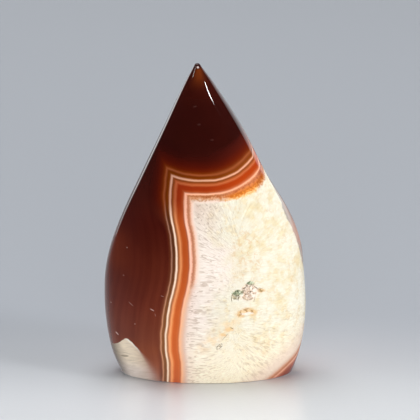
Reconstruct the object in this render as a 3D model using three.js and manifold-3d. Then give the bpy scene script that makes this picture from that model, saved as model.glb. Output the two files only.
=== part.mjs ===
// A polished flame of banded carnelian agate: one solid stone that stands on a small flat.
// Millimetres, +Z up, origin at the middle of the flat, the broad bellied face towards -Y.

import * as THREE from "three";
import { mergeVertices } from "three/addons/utils/BufferGeometryUtils.js";
import Module from "manifold-3d";

// Driving dimensions

const height = 90;
const tipRadius = 1.05;
const edgeRounding = 0.5; // where the side turns into the flat
const ringSpacing = 2.1;
const arcSteps = 12; // facets in each quarter of the front and of the back
const sideSteps = 2; // facets between the front ridge and the widest line
const pitFacets = 1; // subdivision of a pit's rough ball

// Key sections, from the flat up to the round of the tip. left and right are the reach from the
// middle plane, front and back the depth of the two bellies. The front face ends at a ridge on
// each side, which stands forward of the widest line and inside it by its inset. arc is the half
// angle, in degrees, that the front face turns through: 78 joins the side smoothly, less gives
// the ridge its edge.
const sections = [
  { z: 0, left: 24, right: 25, front: 13.4, back: 13.6, forward: 3.2, insetLeft: 0.5, insetRight: 0.5, arc: 78 },
  { z: 6, left: 26.5, right: 27.1, front: 16.1, back: 16.2, forward: 3.6, insetLeft: 0.6, insetRight: 0.6, arc: 78 },
  { z: 13, left: 28, right: 28.4, front: 17.9, back: 17.9, forward: 3.9, insetLeft: 0.6, insetRight: 0.6, arc: 78 },
  { z: 21, left: 28.7, right: 28.8, front: 18.6, back: 18.6, forward: 4, insetLeft: 0.6, insetRight: 0.6, arc: 78 },
  { z: 30, left: 28.4, right: 28.2, front: 18, back: 18.2, forward: 4.2, insetLeft: 0.5, insetRight: 0.8, arc: 74 },
  { z: 38, left: 26.7, right: 27.3, front: 16.6, back: 17, forward: 4.5, insetLeft: 0.4, insetRight: 1.1, arc: 64 },
  { z: 47, left: 23.4, right: 24, front: 14.3, back: 14.8, forward: 4.6, insetLeft: 0.4, insetRight: 1.1, arc: 53 },
  { z: 58, left: 18.3, right: 17.5, front: 11.1, back: 11.8, forward: 4.5, insetLeft: 0.5, insetRight: 0.95, arc: 49 },
  { z: 72, left: 11.6, right: 10.25, front: 7.2, back: 7.6, forward: 3.4, insetLeft: 0.4, insetRight: 0.95, arc: 49 },
  { z: 84, left: 5.9, right: 2.6, front: 3.7, back: 3.9, forward: 1.6, insetLeft: 0.2, insetRight: 0.5, arc: 58 },
  { z: 89.4, left: 3, right: -1.2, front: 0.9, back: 0.9, forward: 0.2, insetLeft: 0.03, insetRight: 0.03, arc: 78 },
];

// Open pits in the quartz on the front face, each made of a few rough hollows. x and z are the
// middle of a hollow, wide, high and deep its size, and lean its turn in degrees.
const pits = [
  { x: 9, z: 27.6, wide: 3.4, high: 2.4, deep: 1.6, lean: 35 },
  { x: 12.2, z: 28, wide: 5, high: 4.6, deep: 1.9, lean: 50 },
  { x: 12.8, z: 30.4, wide: 2.2, high: 1.4, deep: 1.1, lean: 0 },
  { x: 15.2, z: 28.4, wide: 2.9, high: 1.2, deep: 1, lean: -20 },
  { x: 10, z: 22.2, wide: 2.2, high: 1, deep: 0.6, lean: 45 },
  { x: 11.7, z: 22.9, wide: 2.4, high: 1.1, deep: 0.7, lean: 10 },
  { x: 13.3, z: 22.4, wide: 1.9, high: 0.9, deep: 0.5, lean: -30 },
  { x: 4.1, z: 12.5, wide: 2.2, high: 0.9, deep: 0.8, lean: 48 },
];

const carnelian = new THREE.MeshStandardMaterial({
  color: 0x7a2f1c,
  roughness: 0.12,
  metalness: 0,
});

// Sections

// One value of the section at height z, on a smooth curve through the key sections.
function valueAt(key, z) {
  const last = sections.length - 1;
  let i = 0;
  while (i < last - 1 && sections[i + 1].z < z) i += 1;
  const slopeAt = (k) => {
    const below = sections[Math.max(k - 1, 0)];
    const above = sections[Math.min(k + 1, last)];
    return (above[key] - below[key]) / (above.z - below.z);
  };
  const [from, to] = [sections[i], sections[i + 1]];
  const step = to.z - from.z;
  const t = (z - from.z) / step;
  return (
    (2 * t ** 3 - 3 * t ** 2 + 1) * from[key] +
    (t ** 3 - 2 * t ** 2 + t) * step * slopeAt(i) +
    (3 * t ** 2 - 2 * t ** 3) * to[key] +
    (t ** 3 - t ** 2) * step * slopeAt(i + 1)
  );
}

function sectionAt(z) {
  const section = { z };
  for (const key of Object.keys(sections[0])) {
    if (key !== "z") section[key] = valueAt(key, z);
  }
  section.middle = (section.right - section.left) / 2;
  section.reach = (section.right + section.left) / 2;
  section.arc = THREE.MathUtils.degToRad(section.arc);
  return section;
}

// The same section pulled in evenly by a distance, for the rounding at the flat.
function insetSection(section, distance) {
  const smaller = { ...section };
  for (const key of ["reach", "front", "back"]) smaller[key] -= distance;
  return smaller;
}

// Half of a ring, from the middle of the front to the middle of the back. side is 1 for the
// right and -1 for the left.
function halfRing(section, side) {
  const { middle, reach, front, back, forward, arc } = section;
  const inset = side > 0 ? section.insetRight : section.insetLeft;
  const ridge = reach - inset;
  const points = [];
  for (let i = 0; i < arcSteps; i += 1) {
    const turn = (arc * i) / arcSteps;
    const bulge = (Math.cos(turn) - Math.cos(arc)) / (1 - Math.cos(arc));
    points.push([
      middle + (side * ridge * Math.sin(turn)) / Math.sin(arc),
      -forward - (front - forward) * bulge,
    ]);
  }
  const sideTurn = Math.acos(1 - inset / reach);
  for (let i = 0; i < sideSteps; i += 1) {
    const turn = sideTurn * (1 - i / sideSteps);
    points.push([
      middle + side * reach * Math.cos(turn),
      (-forward * Math.sin(turn)) / Math.sin(sideTurn),
    ]);
  }
  for (let i = 0; i <= arcSteps; i += 1) {
    const turn = (Math.PI / 2) * (i / arcSteps);
    points.push([
      middle + side * reach * Math.cos(turn),
      back * Math.sin(turn),
    ]);
  }
  return points;
}

// A whole ring, anticlockwise from above, starting at the middle of the front. scale shrinks it
// about its own middle.
function ringPoints(section, scale = 1) {
  const right = halfRing(section, 1);
  const left = halfRing(section, -1).reverse().slice(1, -1);
  return [...right, ...left].map(
    ([x, y]) =>
      new THREE.Vector3(
        section.middle + (x - section.middle) * scale,
        y * scale,
        section.z,
      ),
  );
}

// Depth of the front face at a place seen from the front.
function frontAt(x, z) {
  const { middle, reach, front, forward, insetRight, arc } = sectionAt(z);
  const turn = Math.asin(
    ((x - middle) * Math.sin(arc)) / (reach - insetRight),
  );
  const bulge = (Math.cos(turn) - Math.cos(arc)) / (1 - Math.cos(arc));
  return -forward - (front - forward) * bulge;
}

// Stone

function stoneRings() {
  const rings = [];
  const shoulder = sectionAt(edgeRounding);
  for (const angle of [0, 30, 60]) {
    const turn = THREE.MathUtils.degToRad(angle);
    const section = insetSection(
      shoulder,
      edgeRounding * (1 - Math.sin(turn)),
    );
    section.z = edgeRounding * (1 - Math.cos(turn));
    rings.push(ringPoints(section));
  }

  const tipStart = sections[sections.length - 1].z;
  const count = Math.round((tipStart - edgeRounding) / ringSpacing);
  for (let i = 0; i <= count; i += 1) {
    const z = edgeRounding + ((tipStart - edgeRounding) * i) / count;
    rings.push(ringPoints(sectionAt(z)));
  }

  const tip = sectionAt(tipStart);
  const ballMiddle = height - tipRadius;
  const widthOfBall = (z) => Math.sqrt(tipRadius ** 2 - (z - ballMiddle) ** 2);
  for (const rise of [0.4, 0.75, 0.93]) {
    const z = tipStart + (height - tipStart) * rise;
    const scale = widthOfBall(z) / widthOfBall(tipStart);
    rings.push(ringPoints({ ...tip, z }, scale));
  }
  return rings;
}

// A closed shell over stacked rings, fanned to one point below and one above.
function loftRings(rings, lowest, highest) {
  const around = rings[0].length;
  const points = [...rings.flat(), lowest, highest];
  const lowestIndex = points.length - 2;
  const highestIndex = points.length - 1;
  const top = (rings.length - 1) * around;
  const faces = [];
  for (let i = 0; i < around; i += 1) {
    const next = (i + 1) % around;
    faces.push(lowestIndex, next, i);
    faces.push(highestIndex, top + i, top + next);
    for (let row = 0; row < top; row += around) {
      faces.push(row + i, row + next, row + around + next);
      faces.push(row + i, row + around + next, row + around + i);
    }
  }
  const geometry = new THREE.BufferGeometry().setFromPoints(points);
  geometry.setIndex(faces);
  return geometry;
}

// Pits

// A rough ball of flat faces, half sunk in the front face.
function pitShape({ x, z, wide, high, deep, lean }) {
  const ball = new THREE.IcosahedronGeometry(1, pitFacets);
  const place = new THREE.Object3D();
  place.position.set(x, frontAt(x, z), z);
  place.rotation.y = THREE.MathUtils.degToRad(-lean);
  place.scale.set(wide / 2, deep, high / 2);
  place.updateMatrix();
  return ball.applyMatrix4(place.matrix);
}

// Solids

const wasm = await Module();
wasm.setup();

function solidOf(geometry) {
  const bare = new THREE.BufferGeometry();
  bare.setAttribute("position", geometry.getAttribute("position"));
  bare.setIndex(geometry.getIndex());
  const merged = mergeVertices(bare);
  const mesh = new wasm.Mesh({
    numProp: 3,
    vertProperties: new Float32Array(merged.getAttribute("position").array),
    triVerts: new Uint32Array(merged.getIndex().array),
  });
  return new wasm.Manifold(mesh);
}

function geometryOf(solid) {
  const mesh = solid.getMesh();
  const geometry = new THREE.BufferGeometry();
  const positions = new THREE.BufferAttribute(mesh.vertProperties, 3);
  geometry.setAttribute("position", positions);
  geometry.setIndex(new THREE.BufferAttribute(mesh.triVerts, 1));
  geometry.computeVertexNormals();
  return geometry;
}

function flameGeometry() {
  const rings = stoneRings();
  const lowest = new THREE.Vector3(sectionAt(0).middle, 0, 0);
  const highest = new THREE.Vector3(rings.at(-1)[0].x, 0, height);
  let stone = solidOf(loftRings(rings, lowest, highest));
  for (const pit of pits) stone = stone.subtract(solidOf(pitShape(pit)));
  return geometryOf(stone);
}

const flame = new THREE.Mesh(flameGeometry(), carnelian);
flame.name = "flame";

const group = new THREE.Group();
group.add(flame);

export default group;
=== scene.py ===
import bpy
import math
import random
from mathutils import Matrix, Vector


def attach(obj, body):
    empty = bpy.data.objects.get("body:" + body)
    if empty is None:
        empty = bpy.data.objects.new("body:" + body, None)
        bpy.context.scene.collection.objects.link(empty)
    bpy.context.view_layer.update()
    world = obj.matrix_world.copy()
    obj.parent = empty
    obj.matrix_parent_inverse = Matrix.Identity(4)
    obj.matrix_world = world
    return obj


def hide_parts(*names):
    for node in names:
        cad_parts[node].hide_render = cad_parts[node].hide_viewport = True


# A polished flame of banded carnelian agate with a white quartz core, on a plain pale floor.
# Objects are in metres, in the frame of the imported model. The values below are in millimetres.

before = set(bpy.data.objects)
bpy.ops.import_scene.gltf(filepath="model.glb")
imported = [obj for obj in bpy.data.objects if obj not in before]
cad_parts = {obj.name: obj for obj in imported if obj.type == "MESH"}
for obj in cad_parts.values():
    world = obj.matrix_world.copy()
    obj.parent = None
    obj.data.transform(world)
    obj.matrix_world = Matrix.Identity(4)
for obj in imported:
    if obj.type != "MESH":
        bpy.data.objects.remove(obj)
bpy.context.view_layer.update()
mm = 0.001


# Modelling helpers

def clearSelection():
    if bpy.context.object and bpy.context.object.mode != "OBJECT":
        bpy.ops.object.mode_set(mode="OBJECT")
    bpy.ops.object.select_all(action="DESELECT")


def pick(*pieces):
    clearSelection()
    for piece in pieces:
        piece.select_set(True)
    bpy.context.view_layer.objects.active = pieces[0]
    return pieces[0]


def joined(pieces, name):
    whole = pick(*pieces)
    bpy.ops.object.join()
    whole.name = name
    whole.data.name = name
    return whole


def applied(piece, kind, **settings):
    pick(piece)
    modifier = piece.modifiers.new(kind.title(), kind)
    for key, value in settings.items():
        setattr(modifier, key, value)
    bpy.ops.object.modifier_apply(modifier=modifier.name)


def combined(piece, other, operation, **settings):
    applied(piece, "BOOLEAN", operation=operation, solver="EXACT", object=other, **settings)
    bpy.data.objects.remove(other)


def selectWhere(piece, mode, wanted):
    # picks the edges or faces whose corners, in millimetres, all pass the test
    bpy.ops.object.mode_set(mode="EDIT")
    bpy.ops.mesh.select_mode(type=mode)
    bpy.ops.mesh.select_all(action="DESELECT")
    bpy.ops.object.mode_set(mode="OBJECT")
    passing = [wanted(*(corner.co / mm)) for corner in piece.data.vertices]
    for each in piece.data.edges if mode == "EDGE" else piece.data.polygons:
        each.select = all(passing[i] for i in each.vertices)
    bpy.ops.object.mode_set(mode="EDIT")


# The flame. Its sections go from the flat up to the start of the round tip.
# left and right reach from the middle plane; front and back are the depths of the two bellies.
# The front face ends at a ridge on each side, which stands forward of the widest line and
# inside it by its inset. arc is how far the front turns: 78 degrees runs into the side smoothly.

flame = {
    "columns": ("z", "left", "right", "front", "back", "forward", "insetLeft", "insetRight", "arc"),
    "sections": [
        (0, 24.0, 25.0, 13.4, 13.6, 3.2, 0.5, 0.5, 78),
        (6, 26.5, 27.1, 16.1, 16.2, 3.6, 0.6, 0.6, 78),
        (13, 28.0, 28.4, 17.9, 17.9, 3.9, 0.6, 0.6, 78),
        (21, 28.7, 28.8, 18.6, 18.6, 4.0, 0.6, 0.6, 78),
        (30, 28.4, 28.2, 18.0, 18.2, 4.2, 0.5, 0.8, 74),
        (38, 26.7, 27.3, 16.6, 17.0, 4.5, 0.4, 1.1, 64),
        (47, 23.4, 24.0, 14.3, 14.8, 4.6, 0.4, 1.1, 53),
        (58, 18.3, 17.5, 11.1, 11.8, 4.5, 0.5, 0.95, 49),
        (72, 11.6, 10.25, 7.2, 7.6, 3.4, 0.4, 0.95, 49),
        (84, 5.9, 2.6, 3.7, 3.9, 1.6, 0.2, 0.5, 58),
        (89.4, 3.0, -1.2, 0.9, 0.9, 0.2, 0.03, 0.03, 78),
    ],
    "height": 90,
    "tipRadius": 1.05,
    "tipRises": (0.35, 0.7, 0.93),  # rings of the tip, as shares of its height
    "ringCount": 60,
    "stepsPerQuarter": 20,
    "ridgeFrom": 40,  # above this height the ridges are crisp
    "ridgeCrease": 0.3,
    "sideHandle": 0.53,  # how far back the bezier handles behind the ridges reach, as a share
    "sideLean": 0.63,  # how far they lean out for the bulge that is wanted
    "backHandle": 0.6,  # half length of the handle at the middle of the back, as a share of the reach
    "footRounding": 0.5,
    "footBorder": 1.5,  # width of the ring of faces round the flat
    "nearby": 0.01,  # how closely a corner has to lie to a level to count as on it
    "nearRidge": 0.05,
    "smoothLevels": 1,
    "smoothAngle": 40,
}


def sectionAt(z):
    # one section on a smooth curve through the listed ones
    rows = flame["sections"]
    lower = max(k for k in range(len(rows) - 1) if k == 0 or rows[k][0] < z)
    upper = lower + 1
    step = rows[upper][0] - rows[lower][0]
    t = (z - rows[lower][0]) / step

    def slope(k, column):
        under, over = rows[max(k - 1, 0)], rows[min(k + 1, len(rows) - 1)]
        return (over[column] - under[column]) / (over[0] - under[0])

    section = {}
    for column, name in enumerate(flame["columns"]):
        section[name] = (
            (2 * t**3 - 3 * t**2 + 1) * rows[lower][column]
            + (t**3 - 2 * t**2 + t) * step * slope(lower, column)
            + (3 * t**2 - 2 * t**3) * rows[upper][column]
            + (t**3 - t**2) * step * slope(upper, column)
        )
    section["z"] = z
    section["middle"] = (section["right"] - section["left"]) / 2
    section["reach"] = (section["right"] + section["left"]) / 2
    section["arc"] = math.radians(section["arc"])
    return section


def frontAt(x, z):
    s = sectionAt(z)
    ridge = s["reach"] - s["insetRight"]
    turn = math.asin((x - s["middle"]) / ridge * math.sin(s["arc"]))
    bulge = (math.cos(turn) - math.cos(s["arc"])) / (1 - math.cos(s["arc"]))
    return -s["forward"] - (s["front"] - s["forward"]) * bulge


def leanOut(inset, reach):
    # how far the handle behind a ridge leans out for the side to bulge by the inset
    spare = 2 * flame["backHandle"] * reach * inset
    return (2 * inset + math.sqrt(4 * inset**2 + spare)) * flame["sideLean"]


def addRing(s, scale=1.0):
    # a bezier circle whose points are the two ridges and the middles of the back and the front
    arc, forward, back, front = s["arc"], s["forward"], s["back"], s["front"]
    roundness = 4 / 3 * math.tan(arc / 4)  # handle length on a unit arc
    bpy.ops.curve.primitive_bezier_circle_add(radius=1)
    ring = bpy.context.object
    ring.data.resolution_u = flame["stepsPerQuarter"]
    points = ring.data.splines[0].bezier_points
    for point in points:
        point.handle_left_type = point.handle_right_type = "FREE"
    leftRidge, backMiddle, rightRidge, frontMiddle = points

    def place(x, y):
        return Vector((s["middle"] + x * scale, y * scale, s["z"])) * mm

    for point, side, inset in ((leftRidge, -1, s["insetLeft"]), (rightRidge, 1, s["insetRight"])):
        ridge = s["reach"] - inset
        deep = (front - forward) * math.sin(arc) / (1 - math.cos(arc)) * roundness
        toFront = place(side * ridge * (1 - roundness / math.tan(arc)), -forward - deep)
        toBack = place(
            side * (ridge + leanOut(inset, s["reach"])), -forward + flame["sideHandle"] * (back + forward))
        point.co = place(side * ridge, -forward)
        if side < 0:
            point.handle_left, point.handle_right = toFront, toBack
        else:
            point.handle_left, point.handle_right = toBack, toFront
    backMiddle.co = place(0, back)
    backMiddle.handle_left = place(-flame["backHandle"] * s["reach"], back)
    backMiddle.handle_right = place(flame["backHandle"] * s["reach"], back)
    across = (s["reach"] - s["insetRight"]) / math.sin(arc) * roundness
    frontMiddle.co = place(0, -front)
    frontMiddle.handle_left = place(across, -front)
    frontMiddle.handle_right = place(-across, -front)
    bpy.ops.object.convert(target="MESH")
    return bpy.context.object


def addFlame():
    clearSelection()
    tipStart = flame["sections"][-1][0]
    count = flame["ringCount"]
    rings = [addRing(sectionAt(tipStart * k / count)) for k in range(count + 1)]
    ballMiddle = flame["height"] - flame["tipRadius"]

    def ballWidth(z):
        return math.sqrt(flame["tipRadius"] ** 2 - (z - ballMiddle) ** 2)

    for rise in flame["tipRises"]:
        section = sectionAt(tipStart)
        section["z"] = tipStart + (flame["height"] - tipStart) * rise
        rings.append(addRing(section, ballWidth(section["z"]) / ballWidth(tipStart)))
    top = section["z"]
    stone = joined(rings, "carnelianFlame")

    bpy.ops.object.mode_set(mode="EDIT")
    bpy.ops.mesh.select_all(action="SELECT")
    bpy.ops.mesh.bridge_edge_loops()
    for level in (0, top):
        selectWhere(stone, "EDGE", lambda x, y, z: abs(z - level) < flame["nearby"])
        bpy.ops.mesh.edge_face_add()
    bpy.ops.mesh.select_all(action="SELECT")
    bpy.ops.mesh.normals_make_consistent(inside=False)

    selectWhere(stone, "EDGE", lambda x, y, z: z < flame["nearby"])
    bpy.ops.mesh.bevel(offset=flame["footRounding"] * mm, segments=3, affect="EDGES")
    selectWhere(stone, "FACE", lambda x, y, z: z < flame["nearby"])
    bpy.ops.mesh.inset(thickness=flame["footBorder"] * mm)

    def onRidge(x, y, z):
        s = sectionAt(min(z, tipStart))
        inset = s["insetLeft"] if x < s["middle"] else s["insetRight"]
        aside = abs(abs(x - s["middle"]) - s["reach"] + inset)
        return max(aside, abs(y + s["forward"])) < flame["nearRidge"]

    selectWhere(stone, "EDGE", lambda x, y, z: z > flame["ridgeFrom"] and onRidge(x, y, z))
    bpy.ops.transform.edge_crease(value=flame["ridgeCrease"])
    bpy.ops.object.mode_set(mode="OBJECT")
    applied(stone, "SUBSURF", levels=flame["smoothLevels"], render_levels=flame["smoothLevels"])
    return stone


# Open pits in the quartz of the front face, lined with small quartz points.

pits = {
    # x, z, wide, high, deep, lean in degrees, how many crystals
    "hollows": [
        (9.0, 27.6, 3.4, 2.4, 1.6, 35, 9),
        (12.2, 28.0, 5.0, 4.6, 1.9, 50, 22),
        (12.8, 30.4, 2.2, 1.4, 1.1, 0, 4),
        (15.2, 28.4, 2.9, 1.2, 1.0, -20, 4),
        (10.0, 22.2, 2.2, 1.0, 0.6, 45, 3),
        (11.7, 22.9, 2.4, 1.1, 0.7, 10, 3),
        (13.3, 22.4, 1.9, 0.9, 0.5, -30, 2),
        (4.1, 12.5, 2.2, 0.9, 0.8, 48, 3),
    ],
    "raggedness": 0.5,
    "raggedSize": 0.9,
    "crystalWidth": (0.25, 0.55),
    "crystalLength": (0.5, 1.2),
    "crystalDepth": (0.35, 0.95),  # how far down the hollow a crystal stands, as shares of its depth
    "crystalRoot": 0.3,  # how far it reaches into the floor
    "crystalReach": 0.85,  # the most of the depth over its foot that it fills
    "crystalInward": 0.4,  # how much it leans to the middle of the hollow
    "crystalStray": 0.35,
    "pointLength": 1.1,  # length of its point, as a share of its width
    "pointTip": 0.12,
    "seed": 11,
}


def hollowFrame(x, z, lean):
    # a hollow's own directions: across, in from the front face, and up, turned by its lean
    place = Matrix.Translation(Vector((x, frontAt(x, z), z)) * mm)
    return place @ Matrix.Rotation(math.radians(-lean), 4, "Y")


def addHollow(x, z, wide, high, deep, lean):
    bpy.ops.mesh.primitive_ico_sphere_add(subdivisions=4, radius=1)
    hollow = bpy.context.object
    size = Matrix.Diagonal((wide / 2 * mm, deep * mm, high / 2 * mm, 1))
    hollow.matrix_world = hollowFrame(x, z, lean) @ size
    pick(hollow)
    bpy.ops.object.transform_apply()
    rough = bpy.data.textures.new("brokenQuartz", "CLOUDS")
    rough.noise_scale = pits["raggedSize"] * mm
    applied(
        hollow, "DISPLACE", texture=rough, texture_coords="LOCAL",
        strength=pits["raggedness"] * mm, mid_level=0.5)
    return hollow


def addCrystal(draw, x, z, wide, high, deep, lean):
    # a six-sided quartz point that stands on the hollow's floor and leans to its opening
    inward, stray, root = pits["crystalInward"], pits["crystalStray"], pits["crystalRoot"]
    turn, depth = draw.uniform(0, 2 * math.pi), draw.uniform(*pits["crystalDepth"])
    flat = math.sqrt(1 - depth**2)
    foot = Vector((math.cos(turn) * flat * wide / 2, depth * deep, math.sin(turn) * flat * high / 2))
    aim = Vector((-inward * foot.x, -1, -inward * foot.z))
    aim += Vector(draw.uniform(-stray, stray) for _ in range(3))
    width, length = draw.uniform(*pits["crystalWidth"]), draw.uniform(*pits["crystalLength"])
    length = min(length, depth * deep * pits["crystalReach"]) + root
    bpy.ops.mesh.primitive_cylinder_add(vertices=6, radius=width * mm, depth=length * mm)
    crystal = bpy.context.object
    selectWhere(crystal, "FACE", lambda x, y, z: z > 0)
    rise = width * pits["pointLength"] * mm
    bpy.ops.mesh.extrude_region_move(TRANSFORM_OT_translate={"value": (0, 0, rise)})
    bpy.ops.transform.resize(value=(pits["pointTip"], pits["pointTip"], 1))
    bpy.ops.object.mode_set(mode="OBJECT")
    upright = aim.to_track_quat("Z", "Y").to_matrix().to_4x4()
    stand = Matrix.Translation((foot + aim.normalized() * (length / 2 - root)) * mm)
    crystal.matrix_world = hollowFrame(x, z, lean) @ stand @ upright
    pick(crystal)
    bpy.ops.object.transform_apply()
    return crystal


def addPits():
    # one solid to cut from the stone: the hollows joined, less the crystals that stand in them
    draw = random.Random(pits["seed"])
    cutter, crystals = None, []
    for *shape, count in pits["hollows"]:
        hollow = addHollow(*shape)
        crystals += [addCrystal(draw, *shape) for _ in range(count)]
        if cutter is None:
            cutter = hollow
        else:
            combined(cutter, hollow, "UNION")
    points = joined(crystals, "quartzPoints")
    combined(cutter, points, "DIFFERENCE", use_self=True)
    return cutter


# Materials. A signal is one output of a node, and sums of signals and numbers add Math nodes.

class Signal:
    def __init__(self, recipe, socket):
        self.recipe = recipe
        self.socket = socket

    def math(self, operation, *values):
        return self.recipe.math(operation, *values)

    def __add__(self, other):
        return self.math("ADD", self, other)

    def __sub__(self, other):
        return self.math("SUBTRACT", self, other)

    def __rsub__(self, other):
        return self.math("SUBTRACT", other, self)

    def __mul__(self, other):
        return self.math("MULTIPLY", self, other)

    def __truediv__(self, other):
        return self.math("DIVIDE", self, other)

    def squared(self):
        return self * self

    __radd__ = __add__
    __rmul__ = __mul__


class Recipe:
    def __init__(self, owner):
        self.owner = owner
        owner.use_nodes = True
        self.tree = owner.node_tree
        self.tree.nodes.clear()

    def node(self, kind, settings={}, sockets={}, output=0):
        made = self.tree.nodes.new("ShaderNode" + kind)
        for key, value in settings.items():
            if key == "stops":
                fillRamp(made.color_ramp, value)
            elif key == "points":
                fillCurve(made.mapping, value)
            else:
                setattr(made, key, value)
        for key, value in sockets.items():
            if isinstance(value, Signal):
                self.tree.links.new(value.socket, made.inputs[key])
            else:
                made.inputs[key].default_value = value
        return Signal(self, made.outputs[output])

    def math(self, operation, *values):
        return self.node("Math", {"operation": operation}, dict(enumerate(values)))

    def lowest(self, first, second):
        return self.math("MINIMUM", first, second)

    def highest(self, *values):
        top = values[0]
        for value in values[1:]:
            top = self.math("MAXIMUM", top, value)
        return top

    def clamped(self, value, low=0.0, high=1.0):
        return self.node("Clamp", {}, {"Value": value, "Min": low, "Max": high})

    def fade(self, value, low, high):
        # 0 at low, 1 at high, smooth between; low may be the larger
        return self.node(
            "MapRange", {"interpolation_type": "SMOOTHSTEP"},
            {"Value": value, "From Min": low, "From Max": high})

    def curve(self, value, points):
        # a smooth line through (from, to) points, level beyond both ends
        start, end = points[0][0], points[-1][0]
        low, high = min(p[1] for p in points), max(p[1] for p in points)
        spots = [((a - start) / (end - start), (b - low) / (high - low)) for a, b in points]
        across = (value - start) / (end - start)
        return self.node("FloatCurve", {"points": spots}, {"Value": across}) * (high - low) + low

    def ramp(self, value, stops):
        # colours between (value, screen colour) stops
        start, end = stops[0][0], stops[-1][0]
        spots = [((at - start) / (end - start), tint(*colour)) for at, colour in stops]
        return self.node("ValToRGB", {"stops": spots}, {"Fac": (value - start) / (end - start)})

    def noise(self, place, scale, detail=2.0, roughness=0.5, distortion=0.0, **more):
        return self.node("TexNoise", more, {
            "Vector": place, "Scale": scale, "Detail": detail, "Roughness": roughness,
            "Distortion": distortion})

    def mixed(self, factor, first, second, blend="MIX"):
        return self.node(
            "Mix", {"data_type": "RGBA", "blend_type": blend, "clamp_result": True},
            {0: factor, 6: first, 7: second}, 2)

    def brighter(self, colour, red, green, blue):
        return self.mixed(1.0, colour, (red, green, blue, 1.0), "MULTIPLY")

    def vector(self, x, y, z):
        return self.node("CombineXYZ", {}, {0: x, 1: y, 2: z})

    def vectorMath(self, operation, first, second):
        return self.node("VectorMath", {"operation": operation}, {0: first, 1: second})

    def finish(self, colour, roughness, height, strength, distance, **fixed):
        normal = self.node("Bump", {}, {"Strength": strength, "Distance": distance, "Height": height})
        shader = self.node("BsdfPrincipled", {}, {
            "Base Color": colour, "Roughness": roughness, "Normal": normal, **fixed})
        output = self.tree.nodes.new("ShaderNodeOutputMaterial")
        self.tree.links.new(shader.socket, output.inputs["Surface"])
        return self.owner


def fillRamp(ramp, stops):
    while len(ramp.elements) < len(stops):
        ramp.elements.new(1)
    for element, (at, colour) in zip(ramp.elements, stops):
        element.position = at
        element.color = colour


def fillCurve(mapping, points):
    line = mapping.curves[0]
    while len(line.points) < len(points):
        line.points.new(1, 1)
    for point, (a, b) in zip(line.points, points):
        point.location = (a, b)
    mapping.update()


def tint(red, green, blue):
    # a screen colour of 0 to 255 as the linear colour that the sockets take
    levels = (v / 255 for v in (red, green, blue))
    return tuple(v / 12.92 if v < 0.04045 else ((v + 0.055) / 1.055) ** 2.4 for v in levels) + (1.0,)


# The agate. depth is the distance in millimetres out from the pale line round the quartz core,
# and it is negative inside. The bands follow it, so they turn sharply where two walls meet.

core = {
    "leftWall": [  # height, then how far right the pale line is on the front
        (0, -6.6), (6, -6.5), (9, -6.75), (13, -7.07), (19, -6.65), (22, -6.3), (25, -5.8), (27.5, -5.2),
        (30, -4.6), (33, -4.15), (36.5, -3.92), (40, -4.02), (43, -4.3), (46, -4.85), (49, -5.4),
        (52.5, -5.5), (56, -5.3)],
    "wallSpread": 0.09,  # how much wider apart the bands stand at the top of the left wall
    "wallCurlFrom": 9,  # the left wall turns to the right from this far in front of the middle
    "wallCurl": 0.012,
    "roof": [  # across, then the height of the pale line on the front
        (-11, 56.1), (-9, 55.75), (-5, 55.18), (-1, 55.08), (1, 55.1), (3, 55.22), (5, 55.47),
        (7, 55.88), (9, 56.48), (11, 57.4), (13, 58.5), (14.6, 59.8), (16, 61.6), (17.5, 64)],
    "roofRise": 5.5,  # how much higher the roof is behind the ridges
    "roofSlant": 1.06,  # turns a height over the roof into a distance from it
    "roofSteeper": (0.0008, 0.002),  # how fast that falls to the left and to the right
    "roofLeast": 0.6,
    "backWall": [  # height, then how far back the pale line is at the right rim
        (4, -1.2), (8, 3), (14, 7), (24, 8), (33, 6), (37, 3), (42, 0.3), (46, -1), (50, -2.6),
        (53, -2.4), (56, 0.5), (62, 5)],
    "rimAt": 25,  # how far right that rim is
    "backSlope": 1.2,  # how far the back wall goes back for each millimetre in from the rim
    "backSlant": 1.56,  # turns a depth behind it into a distance from it
    "cornerLine": (0.615, 0.789, 11.86),  # the wall at the lower right: across, down, off the middle
    "cornerCurl": 0.15,
    "ripple": 0.35,
    "backRipple": 1.2,
}

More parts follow.
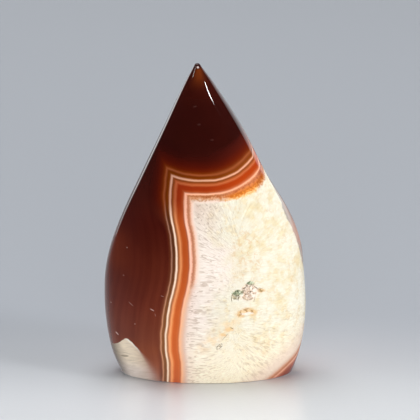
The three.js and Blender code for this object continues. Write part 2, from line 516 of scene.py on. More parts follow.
bands = {
    # distance out from the pale line, then the colour there: beside the core, lower down beside it,
    # over it, over it to the right, and below it at the lower right
    "left": [
        (-0.2, (248, 190, 162)), (0.0, (255, 206, 184)), (0.27, (248, 182, 154)), (0.52, (166, 88, 58)),
        (0.8, (178, 84, 42)), (1.2, (180, 78, 31)), (2.0, (177, 77, 30)), (2.4, (198, 106, 56)),
        (2.75, (226, 142, 90)), (3.05, (206, 126, 78)), (3.35, (146, 82, 42)), (3.6, (156, 98, 62)),
        (3.86, (255, 218, 192)), (4.08, (255, 224, 200)), (4.28, (160, 114, 88)), (4.45, (90, 48, 27)),
        (4.9, (84, 42, 24)), (5.12, (120, 76, 56)), (5.3, (172, 124, 102)), (5.48, (122, 74, 54)),
        (5.75, (88, 38, 21)), (6.4, (84, 32, 18))],
    "low": [
        (-0.2, (246, 188, 150)), (0.0, (255, 190, 146)), (0.2, (238, 162, 118)), (0.45, (200, 112, 66)),
        (0.8, (208, 104, 52)), (1.2, (204, 97, 44)), (2.0, (206, 98, 44)), (2.4, (230, 130, 70)),
        (2.75, (250, 164, 106)), (3.05, (244, 154, 100)), (3.35, (174, 108, 70)), (3.6, (186, 126, 84)),
        (3.86, (255, 221, 191)), (4.08, (255, 229, 203)), (4.28, (170, 120, 88)), (4.45, (130, 80, 46)),
        (4.9, (132, 80, 44)), (5.12, (168, 114, 80)), (5.3, (212, 150, 114)), (5.48, (160, 100, 70)),
        (5.75, (120, 62, 40)), (6.4, (116, 56, 38))],
    "top": [
        (-0.2, (240, 166, 128)), (0.0, (255, 194, 160)), (0.22, (232, 156, 120)), (0.5, (172, 82, 42)),
        (0.9, (162, 62, 24)), (1.2, (156, 50, 17)), (2.0, (154, 49, 17)), (2.3, (176, 78, 38)),
        (2.6, (194, 100, 56)), (2.9, (178, 86, 44)), (3.25, (132, 62, 24)), (3.5, (144, 74, 34)),
        (3.78, (224, 164, 130)), (3.95, (228, 170, 138)), (4.18, (178, 114, 76)), (4.4, (124, 56, 12)),
        (4.9, (110, 44, 4)), (5.2, (138, 66, 29)), (5.45, (156, 82, 44)), (5.7, (138, 62, 22)),
        (6.0, (110, 40, 7)), (6.6, (95, 25, 4)), (7.6, (78, 17, 6)), (9.5, (58, 13, 7)),
        (11, (51, 12, 8)), (13.5, (46, 12, 8))],
    "right": [
        (-0.2, (236, 164, 128)), (0.0, (250, 184, 148)), (0.2, (232, 152, 114)), (0.5, (194, 100, 58)),
        (0.9, (180, 76, 32)), (1.2, (178, 64, 20)), (2.0, (175, 60, 17)), (2.3, (182, 80, 36)),
        (2.6, (200, 106, 60)), (2.9, (184, 92, 50)), (3.25, (142, 70, 30)), (3.5, (152, 78, 38)),
        (3.78, (228, 162, 130)), (3.95, (232, 168, 136)), (4.18, (188, 120, 82)), (4.4, (136, 68, 24)),
        (4.95, (130, 60, 20)), (5.4, (142, 70, 34)), (5.75, (154, 84, 46)), (6.05, (138, 66, 30)),
        (6.4, (116, 46, 16)), (7.0, (106, 34, 9)), (7.6, (98, 28, 8)), (8.4, (89, 24, 10)),
        (9.5, (78, 22, 13)), (10.9, (70, 20, 13)), (12.2, (64, 18, 13)), (13.5, (56, 16, 11))],
    "corner": [
        (-0.15, (212, 150, 122)), (0.0, (226, 162, 136)), (0.18, (208, 142, 114)),
        (0.45, (176, 104, 78)), (0.8, (154, 78, 52)), (1.4, (138, 60, 38)), (2.4, (118, 46, 30)),
        (3.4, (90, 32, 24))],
    # painted shade: with this the bands over the core grow darker to the left, for light falling from the
    # right
    "overTheLeft": (0.8, 0.8, 0.9),  # darkens the bands over the core towards the left
}

surface = {
    "roughness": 0.04,
    "quartzRoughness": 0.1,  # what the quartz adds
    "nickRoughness": 0.4,
    "wavy": 0.04,  # heights of the slow waves of the polish, the quartz grain and the nicks
    "grain": 0.02,
    "nickDepth": 0.1,
    "bump": 0.6,
    "bumpDepth": 0.4,
    "ior": 1.5,
}


def agateMaterial():
    r = Recipe(bpy.data.materials.new("bandedAgate"))
    metres = r.node("TexCoord", output="Object")
    place = r.node("VectorMath", {"operation": "SCALE"}, {0: metres, "Scale": 1 / mm})
    x, y, z = (r.node("SeparateXYZ", {}, {0: place}, k) for k in range(3))
    front = r.fade(y, -3, -5)
    ripple = r.noise(place, 0.35, 2) - 0.5
    left, top, back, corner = coreWalls(r, x, y, z, ripple)
    upright = r.highest(left, back)
    walls = r.highest(upright, top)
    depth = r.highest(walls, corner) + ripple * core["ripple"]

    colour = bandColours(r, x, z, depth, top - upright, corner - walls)
    bandless = plainCarnelian(r, place, x, y, z, depth, left)
    colour = r.mixed(bandedPart(r, z, left, top, back, corner), bandless, colour)
    colour = rindPatch(r, colour, place, x, y, z)

    inner, grain = quartzCore(r, place, x, z, left)
    inner = brokenQuartz(r, inner, place, x, z, front)
    inner = warmRim(r, inner, place, x, z, depth, top - upright, corner - walls)
    inside = r.fade(depth, -0.08, -0.22)
    colour = r.mixed(inside, colour, inner)
    # a painted reflection on the strip behind the upper right ridge
    colour = reflectionBehindRidge(r, colour, place, x, y, z)
    nicked = lineMarks(r, x, z, carnelian["nicks"]) * front
    colour = r.mixed(nicked, colour, carnelian["nickColour"])

    roughness = surface["roughness"] + inside * surface["quartzRoughness"]
    roughness = roughness + nicked * surface["nickRoughness"]
    height = r.noise(place, 0.2, 1) * surface["wavy"] + grain * inside * surface["grain"]
    height = height - nicked * surface["nickDepth"]
    return r.finish(
        colour, roughness, height, surface["bump"], surface["bumpDepth"] * mm, IOR=surface["ior"])


def coreWalls(r, x, y, z, ripple):
    # distances out to the left wall, the roof, the back wall and the wall at the lower right
    behind = r.highest(y + core["wallCurlFrom"], 0)
    left = r.curve(z, core["leftWall"]) + behind * behind * core["wallCurl"] - x
    left = left * (1 - r.fade(z, 45, 56) * core["wallSpread"])

    aside = x - 1
    toLeft, toRight = core["roofSteeper"]
    slant = core["roofSlant"] - r.highest(aside, 0).squared() * toRight
    slant = slant - r.lowest(aside, 0).squared() * toLeft
    roof = r.curve(x, core["roof"]) + r.fade(y, -4.5, 2) * core["roofRise"]
    top = (z - roof) * r.highest(slant, core["roofLeast"])

    rim = r.curve(z, core["backWall"]) + (core["rimAt"] - x) * core["backSlope"]
    back = (y - rim) / core["backSlant"] + ripple * core["backRipple"]

    across, down, off = core["cornerLine"]
    corner = x * across - z * down - off + r.highest(x - core["rimAt"], 0).squared() * core["cornerCurl"]
    return left, top, back, corner


def bandColours(r, x, z, depth, overRoof, overCorner):
    # warmer and darker over the core than beside it, and brown at the lower right
    above = r.highest(r.fade(overRoof, -0.3, 0.3), r.fade(z, 46, 54))
    below = r.fade(overCorner, -0.3, 0.3)
    beside = r.mixed(r.fade(z, 42, 14), r.ramp(depth, bands["left"]), r.ramp(depth, bands["low"]))
    # over the core the bands are brighter to the right and darker to the left: partly their own colour,
    # partly painted light from the right and through the stone
    over = r.mixed(r.fade(x, -1, 11), r.ramp(depth, bands["top"]), r.ramp(depth, bands["right"]))
    over = r.mixed(r.fade(x, -2, -9), over, r.brighter(over, *bands["overTheLeft"]))
    return r.mixed(below, r.mixed(above, beside, over), r.ramp(depth, bands["corner"]))


def bandedPart(r, z, left, top, back, corner):
    # 1 where the bands show, 0 out in the plain carnelian
    nearTop = 1 - r.fade(top, 11, 13.5)
    nearSide = 1 - r.fade(left, 5.7, r.fade(z, 44, 54) * 5 + 6.6)
    nearRest = (1 - r.fade(back, 5.5, 7.5)) * (1 - r.fade(corner, 3.2, 5))
    return nearTop * nearSide * nearRest


# Marks have places and sizes across and up, and the long ones a lean in degrees.

def spotAt(r, x, z, atX, atZ, wide, high, soft=0.5):
    across, up = (x - atX) / wide, (z - atZ) / high
    return r.fade(across.squared() + up.squared(), 1 + soft, 1 - soft)


def spotMarks(r, x, z, spots, soft):
    total = 0
    for spot in spots:
        total = spotAt(r, x, z, *spot, soft=soft) + total
    return r.clamped(total)


def lineMarks(r, x, z, lines):
    total = 0
    for atX, atZ, long, thin, lean, strength in lines:
        cos, sin = math.cos(math.radians(lean)), math.sin(math.radians(lean))
        along = (x - atX) * (cos / long) + (z - atZ) * (sin / long)
        aside = (z - atZ) * (cos / thin) - (x - atX) * (sin / thin)
        total = r.fade(along.squared() + aside.squared(), 1.3, 0.3) * strength + total
    return r.clamped(total)


# The plain carnelian, with streaks along the bands and a few nicks in its polish.

carnelian = {
    # partly painted light: the carnelian darkens upwards, and its paler colours low down also stand in for
    # light falling on the foot
    "body": [  # height, then the colour of the plain carnelian
        (0, (142, 76, 54)), (5, (134, 68, 46)), (10, (126, 61, 37)), (14, (112, 52, 34)),
        (24, (97, 38, 24)), (35, (86, 31, 18)), (46, (70, 19, 11)), (54, (61, 17, 10)),
        (66, (48, 12, 8)), (78, (48, 12, 8)), (84, (58, 16, 9)), (90, (50, 16, 12))],
    "streaks": (tint(238, 228, 228), tint(255, 255, 255)),  # darker and paler streaks along the bands
    "clouds": (0.7, 0.6, 0.6),  # these two multiply the colour below them
    "nearBands": (1.3, 1.5, 1.4),
    "edgeGlow": tint(110, 42, 16),  # light through the thin left edge and through the tip
    "tipGlow": tint(112, 48, 16),
    "tipToLeft": 1.7,  # how far left of the middle the tip is
    # a painted highlight: a small grey-white spot on the round top of the tip
    "tipHighlight": (-1.95, 89.0, 0.32, 0.26),  # x, z, wide, high
    "tipHighlightColour": tint(206, 192, 188),
    "nicks": [  # x, z, long, thin, lean, strength
        (-20.8, 23.5, 0.9, 0.13, -38, 0.22), (-14.8, 22.7, 0.7, 0.16, -24, 0.6),
        (-13.9, 21.3, 0.5, 0.11, -70, 0.2), (-24.9, 13.5, 0.6, 0.2, -42, 0.75),
        (-19.7, 17.8, 0.2, 0.18, 0, 0.35), (-26.6, 22.3, 0.2, 0.17, 0, 0.35),
        (-22.9, 31.2, 0.25, 0.2, 0, 0.15), (-21.9, 38.9, 0.2, 0.17, 0, 0.3),
        (-11.9, 26.9, 0.5, 0.1, -15, 0.3), (-2.75, 78.7, 0.5, 0.15, 10, 0.05),
        (-1.6, 73.9, 0.5, 0.2, 5, 0.04), (2.0, 69.7, 0.5, 0.15, 0, 0.04)],
    "nickColour": tint(214, 178, 166),
}


def plainCarnelian(r, place, x, y, z, depth, left):
    # colour by height, paler low down partly as painted light
    colour = r.ramp(z, carnelian["body"])
    streaks = r.noise(r.vector(depth * 0.8, y * 0.02, z * 0.03), 1.0, 2, 0.5)
    streaked = r.mixed(1.0, colour, r.mixed(r.fade(streaks, 0.3, 0.7), *carnelian["streaks"]), "MULTIPLY")
    colour = r.mixed(r.fade(z, 70, 48), colour, streaked)
    cloud = r.fade(r.noise(place, 0.09, 2), 0.35, 0.7)
    colour = r.mixed(cloud * 0.35, colour, r.brighter(colour, *carnelian["clouds"]))
    nearBands = r.fade(left, 15, 7) * r.fade(z, 46, 20)
    colour = r.mixed(nearBands, colour, r.brighter(colour, *carnelian["nearBands"]))
    edgeGlow = r.fade(x, -19, -25) * r.fade(z, 30, 36) * r.fade(z, 46, 40)
    colour = r.mixed(edgeGlow * 0.4, colour, carnelian["edgeGlow"])
    halfWidth = (flame["height"] - z) * 0.42 + 0.6
    fromMiddle = r.math("ABSOLUTE", x + carnelian["tipToLeft"]) / halfWidth
    tipGlow = r.fade(fromMiddle, 1.2, 0.1) * r.fade(z, 82.5, 88) * r.fade(z, 89.2, 88.2)
    colour = r.mixed(tipGlow * 0.85, colour, carnelian["tipGlow"])
    # the painted highlight on the round top of the tip
    tipHighlight = spotAt(r, x, z, *carnelian["tipHighlight"]) * r.fade(y, -0.2, -0.6)
    return r.mixed(tipHighlight, colour, carnelian["tipHighlightColour"])


# The pale rind low on the left: crisp along its top and blurred at the right, with painted shade towards
# the left edge and a painted highlight along its top.

rind = {
    "edge": [  # across, then the height that the pale rind reaches
        (-28.5, 8.6), (-25.2, 10.2), (-23.2, 12.1), (-22.1, 12.85), (-21.2, 12.4), (-19.8, 11.2),
        (-18, 9.6), (-16.2, 8.4), (-13.5, 6.6), (-10, 4.2)],
    "low": tint(226, 213, 203),
    "high": tint(235, 219, 194),
    "grain": tint(192, 176, 158),
    # painted shade, darker towards the left edge of the rind
    "leftEdgeShade": (0.17, 0.15, 0.13),  # multiplies the colour towards the left edge
    # a painted highlight along the top of the rind
    "rindTopHighlight": tint(255, 250, 238),
    "lines": [  # with values as the nicks have
        (-22.8, 6.9, 1.3, 0.4, 16, 0.65), (-22.6, 8.0, 1.4, 0.13, 6, 0.4),
        (-20.2, 6.2, 1.9, 0.1, 17, 0.4)],
    "lineColour": tint(120, 108, 92),
}


def rindPatch(r, colour, place, x, y, z):
    blur = r.fade(x, -19.5, -14.5) * 5.5 + 0.25
    edge = r.curve(x, rind["edge"]) + (r.noise(place, 0.9, 3) - 0.5) * 0.4 - r.highest(y + 4, 0)
    inside = (edge - z) / blur
    # where the painted shade towards the left edge lies
    leftEdgeShade = r.fade(x - (10 - z) * 0.28, -23, -27.4)
    fromBack = y + z * 0.2 + (r.noise(place, 0.4, 3) - 0.5) * 5
    cover = r.fade(inside, 0, 1) * r.fade(x + z * 0.3, -11, -18.5) * r.fade(fromBack, -0.5, -4)
    grainy = r.noise(r.vector(z * 1.6 - x * 0.35, y * 0.4, z * 0.2 + x * 0.15), 1.0, 4, 0.6)
    shade = r.mixed(r.fade(z, 2, 7), rind["low"], rind["high"])
    shade = r.mixed(r.fade(grainy, 0.3, 0.7) * 0.5, shade, rind["grain"])
    # the painted highlight along the rind's top edge
    rindTopHighlight = r.fade(edge - z, 1.1, 0.3) * r.fade(x, -23, -21.5) * r.fade(x, -16, -18)
    shade = r.mixed(leftEdgeShade, shade, r.brighter(shade, *rind["leftEdgeShade"]))
    shade = r.mixed(rindTopHighlight * 0.6, shade, rind["rindTopHighlight"])
    shade = r.mixed(lineMarks(r, x, z, rind["lines"]), shade, rind["lineColour"])
    return r.mixed(cover * 0.97, colour, shade)


# A painted reflection: the strip behind the upper right ridge, grey with a rosy middle, stands in for a
# grazing reflection there.

paintedRidgeReflection = {
    "grey": tint(146, 130, 124),
    "rosy": tint(178, 138, 124),
    "from": [  # height, then the depth at which it starts
        (31, -2), (38, -3.8), (42.5, -4.2), (47, -4.6), (51, -3.1), (56, -1.7)],
    "strength": 0.8,
}


def reflectionBehindRidge(r, colour, place, x, y, z):
    behind = y - r.curve(z, paintedRidgeReflection["from"]) + (r.noise(place, 0.5, 3) - 0.5) * 1.6
    cover = r.fade(behind, -0.2, 0.3) * r.fade(y, 2.5, 0) * r.fade(x, 8, 12)
    cover = cover * r.fade(z, 30, 33) * r.fade(z, 62, 58)
    rosy = r.fade(z, 47, 43) * r.fade(z, 36, 40)
    shade = r.mixed(rosy, paintedRidgeReflection["grey"], paintedRidgeReflection["rosy"])
    return r.mixed(cover * paintedRidgeReflection["strength"], colour, shade)


# The quartz: needles, rosy white beside the left wall, cream with yellow mottles to the right.

quartz = {
    # needles point away from an upright line: its x, y, lowest and highest z. spread is how fine
    # they are, and crossings is how often they change on the way out.
    "wideNeedles": {"line": (13, -18, 0, 35), "spread": 42, "shift": 0, "crossings": 0.42},
    "fanNeedles": {"line": (2, -18, 20, 35), "spread": 34, "shift": 30, "crossings": 0.2},
    "needlesPerMm": 1.9,
    "needleRoughness": 0.45,
    "needleBend": 0.8,
    "rosyWhite": tint(243, 230, 219),
    "cream": tint(235, 227, 205),
    "yellow": tint(229, 212, 168),
    "white": tint(236, 232, 216),
    "mottle": tint(232, 209, 158),
    "paleMottle": tint(240, 236, 222),
    "foot": (tint(255, 243, 217), tint(248, 233, 204)),  # at the middle and to the right
    "underRoof": tint(226, 206, 188),
    "inCorner": tint(202, 162, 141),
    "besideWall": tint(236, 208, 196),
    "softNeedles": (0.88, 0.85, 0.8),  # these three multiply the colour below them
    "darkStreaks": (0.64, 0.56, 0.5),
    "paleStreaks": (1.12, 1.15, 1.17),
    "specks": tint(172, 146, 126),
    "outlines": tint(222, 184, 130),
    "outlinesAt": (11.8, 38, 4.2, 8, 0.6),  # x, z, wide, high, soft
}


def needlePattern(r, place, z, line, spread, shift, crossings):
    # three noises, long along the way out from the line and thin across it
    lineX, lineY, low, high = line
    level = r.clamped(z, low, high)
    away = r.vectorMath("SUBTRACT", place, r.vector(lineX, lineY, level))
    radius = r.node("VectorMath", {"operation": "LENGTH"}, {0: away}, "Value")
    heading = r.node("VectorMath", {"operation": "NORMALIZE"}, {0: away})
    heading = r.node("VectorMath", {"operation": "SCALE"}, {0: heading, "Scale": spread})
    heading = r.vectorMath("ADD", heading, r.vector(0, 0, level * quartz["needlesPerMm"]))
    return r.node("TexNoise", {"noise_dimensions": "4D"}, {
        "Vector": heading, "W": radius * crossings + shift, "Scale": 1.0, "Detail": 1,
        "Roughness": quartz["needleRoughness"], "Distortion": quartz["needleBend"]}, "Color")


def quartzCore(r, place, x, z, left):
    wander = r.noise(place, 0.3, 2) - 0.5
    fan = r.fade(x + wander * 5, 8, 11.5)
    wide = needlePattern(r, place, z, **quartz["wideNeedles"])
    fanned = needlePattern(r, place, z, **quartz["fanNeedles"])
    fibres, strokes, threads = (
        r.node("SeparateColor", {}, {0: r.mixed(fan, wide, fanned)}, k) for k in range(3))
    further = r.fade(z, 25, 31) * r.fade(z, 45, 39)  # the rosy white reaches further right here
    side = r.fade(x + wander * 9 - further * 4.5, -2, 8)
    nearWall = r.fade(left, -12, -3)
    fanHere = fan * r.fade(z + wander * 6, 20, 15) * r.fade(x, 21, 16)
    calm = r.fade(x + wander * 8, 6, 14) * r.fade(z, 16, 26)  # smooth and cloudy, high on the right

    colour = r.mixed(side, quartz["rosyWhite"], quartz["cream"])
    yellow = r.fade(r.noise(place, 0.17, 3, 0.6), 0.48, 0.64) * side
    colour = r.mixed(yellow * 0.6, colour, quartz["yellow"])
    white = r.fade(r.noise(place, 0.14, 3, 0.6), 0.44, 0.6) * side
    colour = r.mixed(white * 0.5, colour, quartz["white"])
    mottled = r.noise(place, 0.45, 3, 0.6)
    colour = r.mixed(r.fade(mottled, 0.53, 0.62) * side * 0.42, colour, quartz["mottle"])
    colour = r.mixed(r.fade(mottled, 0.47, 0.38) * side * 0.5, colour, quartz["paleMottle"])
    foot = r.mixed(r.fade(x, 7, 15), *quartz["foot"])
    colour = r.mixed(r.fade(z, 22, 3) * 0.8, colour, foot)
    underRoof = r.fade(z, 43, 51) * r.fade(x, 7, 0)
    colour = r.mixed(underRoof * 0.6, colour, quartz["underRoof"])
    inCorner = r.fade(left, -5, -1) * r.fade(z, 49, 53)
    colour = r.mixed(inCorner, colour, quartz["inCorner"])
    besideWall = r.fade(left, -5, -1) * r.fade(z, 36, 26)
    colour = r.mixed(besideWall * 0.5, colour, quartz["besideWall"])

    # broad soft needles, then fine streaks: darker ones and pale ones
    soft = r.brighter(colour, *quartz["softNeedles"])
    colour = r.mixed(r.fade(fibres, 0.6, 0.4) * 0.3, colour, soft)
    patchy = r.fade(r.noise(place, 0.45, 2), 0.4, 0.6)
    streaky = nearWall * (r.fade(z, 50, 40) * 0.2 + 0.2)
    strength = patchy * 0.25 + streaky + fanHere * 0.2 + 0.15 - calm * 0.25
    dark = r.brighter(colour, *quartz["darkStreaks"])
    colour = r.mixed(r.fade(strokes, 0.48, 0.39) * strength, colour, dark)
    pale = r.brighter(colour, *quartz["paleStreaks"])
    colour = r.mixed(r.fade(threads, 0.53, 0.62) * (0.6 - calm * 0.2), colour, pale)

    # brown specks under the roof, and ochre outlines of coarse crystals
    specks = r.fade(r.noise(place, 1.5, 2), 0.57, 0.66) * r.fade(z, 39, 47) * r.fade(x, 10, 2)
    colour = r.mixed(specks * 0.5, colour, quartz["specks"])
    bent = r.node("TexNoise", {}, {"Vector": place, "Scale": 0.5, "Detail": 2}, "Color")
    bent = r.vectorMath("ADD", place, r.vectorMath("MULTIPLY", bent, (3.5, 3.5, 3.5)))
    edge = r.node("TexVoronoi", {"feature": "DISTANCE_TO_EDGE"}, {"Vector": bent, "Scale": 0.5})
    where = r.fade(r.noise(place, 0.21, 2), 0.5, 0.62) * side
    where = r.highest(where * 0.6, spotAt(r, x, z, *quartz["outlinesAt"]))
    where = where * r.fade(r.noise(place, 0.6, 1), 0.42, 0.58)
    colour = r.mixed(r.fade(edge, 0.13, 0.02) * where * 0.5, colour, quartz["outlines"])
    return colour, fibres


# The open pits: pale pink points, a green coat to the left, ochre stains and thin dark cracks.

broken = {
    "pinks": [(12.3, 27.9, 2.8, 2.3), (11.8, 21.9, 1.8, 0.4)],  # x, z, wide, high
    "greens": [(9.1, 27.9, 1.5, 0.7), (12.6, 30.5, 1.1, 0.5)],
    "ochres": [
        (15.7, 28.1, 1.3, 0.5), (10.2, 21.9, 1.2, 1.0), (11.9, 22.8, 1.7, 0.9), (13.6, 22.0, 1.1, 0.8),
        (6.7, 17.6, 1.4, 0.7), (5.2, 16.0, 0.8, 0.4)],
    "cracks": [  # thin dark outlines of the broken quartz, with values as the nicks have
        (7.45, 26.4, 0.9, 0.13, 95, 0.8), (9.35, 26.5, 0.8, 0.14, 88, 0.8),
        (8.0, 27.3, 0.6, 0.12, 20, 0.6), (11.2, 29.2, 1.1, 0.16, 40, 0.7),
        (14.3, 29.1, 0.9, 0.16, -42, 0.6), (13.9, 25.9, 1.0, 0.12, 76, 0.5),
        (15.7, 28.0, 0.5, 0.16, -20, 0.7), (9.7, 21.7, 0.9, 0.12, 66, 0.4),
        (13.3, 22.4, 0.6, 0.12, -40, 0.4), (7.6, 17.9, 0.6, 0.16, -30, 0.6),
        (5.5, 15.2, 1.6, 0.1, 50, 0.45), (3.7, 12.7, 0.9, 0.12, 48, 0.7),
        (4.4, 12.2, 0.9, 0.12, 48, 0.7), (4.7, 13.2, 0.4, 0.12, -42, 0.7),
        (3.3, 11.7, 0.4, 0.12, -42, 0.7)],
    "pink": tint(255, 241, 228),
    "facet": tint(206, 160, 126),
    "green": tint(204, 218, 186),
    "greenLine": tint(98, 114, 80),
    "ochre": tint(234, 190, 126),
    "trailLine": (0.72, 0.69, 8.3),  # the pale ochre trail down to the left: across, down, off the middle
    "trail": tint(242, 208, 156),
    "crack": tint(118, 98, 68),
}


def brokenQuartz(r, colour, place, x, z, front):
    rough = (r.noise(place, 1.5, 3, 0.6) - 0.5) * 0.9
    stainX, stainZ = x + rough, z - rough
    across, down, off = broken["trailLine"]
    trail = r.fade(r.math("ABSOLUTE", stainX * across - stainZ * down + off), 3, 0.2)
    trail = trail * r.fade(r.noise(place, 0.7, 2), 0.35, 0.6)
    trail = trail * r.fade(z, 8, 14) * r.fade(z, 26, 20) * front
    colour = r.mixed(trail * 0.5, colour, broken["trail"])
    ochre = spotMarks(r, stainX, stainZ, broken["ochres"], 0.8) * front
    colour = r.mixed(ochre * 0.6, colour, broken["ochre"])
    pink = spotMarks(r, stainX, stainZ, broken["pinks"], 0.4) * front
    facets = r.node("TexVoronoi", {"feature": "DISTANCE_TO_EDGE"}, {"Vector": place, "Scale": 1.1})
    colour = r.mixed(pink * 0.85, colour, broken["pink"])
    colour = r.mixed(pink * r.fade(facets, 0.1, 0.02) * 0.25, colour, broken["facet"])
    green = spotMarks(r, stainX, stainZ, broken["greens"], 0.5) * front
    colour = r.mixed(green * 0.7, colour, broken["green"])
    coat = r.math("ABSOLUTE", r.noise(place, 1.7, 2) - 0.5)
    colour = r.mixed(green * r.fade(coat, 0.07, 0.02) * 0.75, colour, broken["greenLine"])
    cracks = lineMarks(r, x + rough * 0.4, z - rough * 0.3, broken["cracks"]) * front
    return r.mixed(cracks, colour, broken["crack"])


# What lies against the pale line: a beaded brown line beside the wall that fades out low down,
# an orange crust of small crystals under the roof, and a brown edge at the lower right.

warmLayers = {
    "beads": [  # inside the pale line beside the left wall, high up and low down
        (-3.2, (241, 227, 215)), (-2.3, (242, 221, 206)), (-1.7, (244, 206, 184)),
        (-1.35, (226, 170, 140)), (-1.08, (200, 136, 104)), (-0.82, (186, 118, 84)),
        (-0.6, (194, 126, 94)), (-0.35, (236, 168, 140)), (-0.15, (250, 194, 170))],
    "lowRim": [
        (-2.2, (228, 202, 188)), (-1.4, (224, 188, 168)), (-0.9, (232, 188, 162)),
        (-0.5, (238, 190, 158)), (-0.2, (246, 186, 148))],
    "crust": [(-6, 1.5), (3, 1.5), (5.7, 1.9), (8.8, 2.05), (11.5, 2.4), (16, 2.5)],  # across, thickness
    "roofTan": [  # under the roof, as shares of the crust's thickness
        (-1.35, (226, 196, 174)), (-1.15, (220, 184, 158)), (-0.95, (224, 176, 142)),
        (-0.75, (216, 154, 114)), (-0.55, (198, 130, 88)), (-0.38, (176, 108, 68)),
        (-0.22, (204, 136, 96)), (-0.1, (238, 166, 128))],
    "roofOrange": [
        (-1.5, (252, 238, 208)), (-1.32, (255, 224, 174)), (-1.14, (255, 202, 138)),
        (-1.0, (238, 164, 86)), (-0.86, (226, 140, 56)), (-0.7, (214, 120, 46)), (-0.54, (224, 134, 68)),
        (-0.4, (206, 124, 78)), (-0.26, (200, 118, 76)), (-0.16, (218, 142, 106)),
        (-0.07, (240, 170, 134))],
    "crystals": (0.8, 0.62, 0.46),  # these two multiply: dark crystals in the crust, and its right end
    "crustEnd": (0.62, 0.5, 0.6),
    "cornerRim": [
        (-3.4, (228, 214, 194)), (-2.4, (224, 204, 184)), (-1.7, (220, 190, 168)),
        (-1.25, (214, 168, 144)), (-0.9, (194, 134, 102)), (-0.6, (178, 112, 76)),
        (-0.35, (192, 130, 100)), (-0.15, (212, 150, 122))],
    "flush": tint(226, 198, 184),
}


def warmRim(r, colour, place, x, z, depth, overRoof, overCorner):
    ragged = depth + (r.noise(place, 1.8, 3, 0.6) - 0.5) * 0.6
    fine = r.noise(place, 1.5, 3, 0.7)
    high = r.fade(z + (fine - 0.5) * 8, 27, 33)
    broad, narrow = r.fade(ragged, -3.2, -2.0), r.fade(ragged, -2.4, -0.6)
    beside = r.mixed(high, r.ramp(ragged, warmLayers["lowRim"]), r.ramp(ragged, warmLayers["beads"]))
    colour = r.mixed(narrow + (broad - narrow) * high, colour, beside)

    share = (ragged + (fine - 0.5) * 1.0) / r.curve(x, warmLayers["crust"])
    toOrange = r.fade(x + (fine - 0.5) * 8, 3.5, 8.5)
    crust = r.mixed(toOrange, r.ramp(share, warmLayers["roofTan"]), r.ramp(share, warmLayers["roofOrange"]))
    crust = r.mixed(r.fade(fine, 0.45, 0.58) * 0.85, crust, r.brighter(crust, *warmLayers["crystals"]))
    crust = r.mixed(r.fade(x, 14, 15.5) * 0.8, crust, r.brighter(crust, *warmLayers["crustEnd"]))
    colour = r.mixed(r.fade(share, -1.5, -1.2) * r.fade(overRoof, -0.8, 0.4), colour, crust)

    flush = r.fade(ragged, -8, -2.5) * r.fade(overCorner, -2, 0.4)
    colour = r.mixed(flush * 0.6, colour, warmLayers["flush"])
    edge = r.fade(ragged, -3.2, -1.4) * r.fade(overCorner, -1.2, 0.4)
    return r.mixed(edge, colour, r.ramp(ragged, warmLayers["cornerRim"]))


# The plain floor, the lights and the camera

studio = {
    "floorRadius": 1500,
    "floorSides": 96,
    # painted light: the floor is paler in front of the stone than behind it
    "nearFloor": tint(236, 239, 243),  # the floor pales towards the camera
    "farFloor": tint(189, 194, 202),
    "cloudyFloor": tint(190, 194, 200),
    "floorRoughness": 0.19,
    "floorBump": 0.1,
    "floorBumpDepth": 0.2,
    "floorPales": (-50, 60),  # between these depths
    "farColour": tint(176, 182, 190),  # what the camera sees past the floor
    "roomLevel": 0.14,
    "roomFall": 0.36,  # how fast the room darkens upwards
    "roomLeast": 0.03,
    "behindLevel": 0.45,  # a paler part of the room low down behind the stone
    "roomTint": (0.97, 1.05),  # its red and its blue, against its green
    # name, place, wide, high, watts, seen in reflections
    "lights": [
        ("overhead", (-100, 350, 1300), 1000, 1000, 12.5, True),
        ("frontFill", (0, -1300, 150), 900, 300, 11, False),
        ("leftFill", (-1300, 0, 500), 900, 900, 4.5, False),
        ("rightFill", (1300, -200, 400), 900, 900, 9, False),
        ("backLeft", (-850, 1000, 280), 900, 500, 2.8, True),
        ("backRight", (850, 1000, 280), 900, 500, 1.4, True),
        ("leftWindow", (-960, -450, 850), 70, 60, 0.22, True),
    ],
    "stripEnds": ((962, -445, 851), (948, -678, 659)),  # a thin lamp that draws the line at the tip
    "stripWidth": 60,
    "stripWatts": 3.4,
    "aim": (1.436, 0, 47.43),
    "elevation": 15,
    "distance": 882.7,
    "lens": 267.1,
    "sensor": 36,
    "clipEnd": 20000,
}


def floorMaterial():
    r = Recipe(bpy.data.materials.new("satinFloor"))
    metres = r.node("TexCoord", output="Object")
    cloudy = r.noise(metres, 2.0, 3)
    away = r.node("SeparateXYZ", {}, {0: metres}, 1)
    near, far = (depth * mm for depth in studio["floorPales"])
    # painted light: the floor is painted paler in front of the stone
    colour = r.mixed(r.fade(away, near, far), studio["nearFloor"], studio["farFloor"])
    colour = r.mixed(cloudy * 0.1, colour, studio["cloudyFloor"])
    roughness = cloudy * 0.1 + studio["floorRoughness"]
    height = r.noise(metres, 900, 2)
    return r.finish(colour, roughness, height, studio["floorBump"], studio["floorBumpDepth"] * mm)


def addLamp(name, place, wide, high, watts, reflected):
    bpy.ops.object.light_add(type="AREA", location=Vector(place) * mm)
    lamp = bpy.context.object
    lamp.name = name
    lamp.data.shape = "RECTANGLE"
    lamp.data.size = wide * mm
    lamp.data.size_y = high * mm
    lamp.data.energy = watts
    aim = Vector(studio["aim"]) * mm - lamp.location
    lamp.rotation_euler = aim.to_track_quat("-Z", "Y").to_euler()
    lamp.visible_glossy = reflected
    lamp.visible_camera = False
    return lamp


def addStrip():
    # the long side of the thin lamp runs from one of its ends to the other
    high, low = (Vector(end) for end in studio["stripEnds"])
    lamp = addLamp(
        "strip", (high + low) / 2, (high - low).length, studio["stripWidth"], studio["stripWatts"], True)
    facing = (Vector(studio["aim"]) * mm - lamp.location).normalized()
    along = (high - low).normalized()
    across = along.cross(facing).normalized()
    lamp.rotation_euler = Matrix((facing.cross(across), across, -facing)).transposed().to_euler()


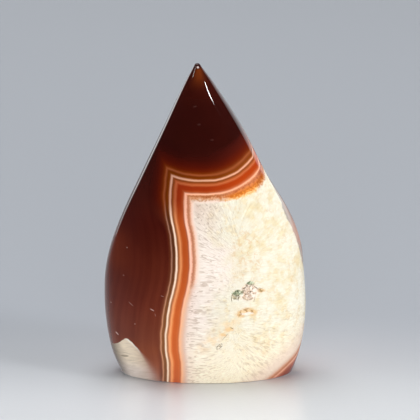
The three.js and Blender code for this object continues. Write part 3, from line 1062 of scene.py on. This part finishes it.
def addRoom():
    # the camera sees a plain grey; reflections see a room that is darker higher up and in front
    world = bpy.data.worlds.new("room")
    bpy.context.scene.world = world
    r = Recipe(world)
    way = r.node("TexCoord", output="Generated")
    y, z = (r.node("SeparateXYZ", {}, {0: way}, k) for k in (1, 2))
    around = r.clamped(studio["roomLevel"] - z * studio["roomFall"], studio["roomLeast"], 0.5)
    around = around * (r.fade(y, -0.9, 0) * 0.6 + 0.4)
    behind = r.fade(y, 0.2, 0.7) * r.fade(z, 0.35, 0.05)
    level = around + behind * (studio["behindLevel"] - around)
    red, blue = studio["roomTint"]
    room = r.vector(level * red, level, level * blue)
    seen = r.node("LightPath", output="Is Camera Ray")
    colour = r.mixed(seen, room, studio["farColour"])
    shade = r.node("Background", {}, {"Color": colour})
    output = r.tree.nodes.new("ShaderNodeOutputWorld")
    r.tree.links.new(shade.socket, output.inputs["Surface"])


def addStudio():
    clearSelection()
    bpy.ops.mesh.primitive_circle_add(
        vertices=studio["floorSides"], radius=studio["floorRadius"] * mm, fill_type="NGON")
    floor = bpy.context.object
    floor.name = floor.data.name = "floor"
    floor.data.materials.append(floorMaterial())
    floor.visible_glossy = False
    for lamp in studio["lights"]:
        addLamp(*lamp)
    addStrip()
    addRoom()


def addCamera():
    rise = math.radians(studio["elevation"])
    aim = Vector(studio["aim"]) * mm
    back = Vector((0, -math.cos(rise), math.sin(rise)))
    bpy.ops.object.camera_add(location=aim + back * studio["distance"] * mm)
    camera = bpy.context.object
    camera.rotation_euler = back.to_track_quat("Z", "Y").to_euler()
    camera.data.lens = studio["lens"]
    camera.data.sensor_width = studio["sensor"]
    camera.data.clip_end = studio["clipEnd"] * mm
    bpy.context.scene.camera = camera


stone = addFlame()
print("stone", len(stone.data.polygons), "faces")
agate = agateMaterial()
stone.data.materials.append(agate)
print("agate", len(agate.node_tree.nodes), "nodes")
combined(stone, addPits(), "DIFFERENCE")
pick(stone)
bpy.ops.object.shade_smooth_by_angle(angle=math.radians(flame["smoothAngle"]))
print("stone with pits", len(stone.data.polygons), "faces")
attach(stone, "root")
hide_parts("flame")

addStudio()
addCamera()
bpy.context.scene.view_settings.view_transform = "Standard"
print("studio ready")
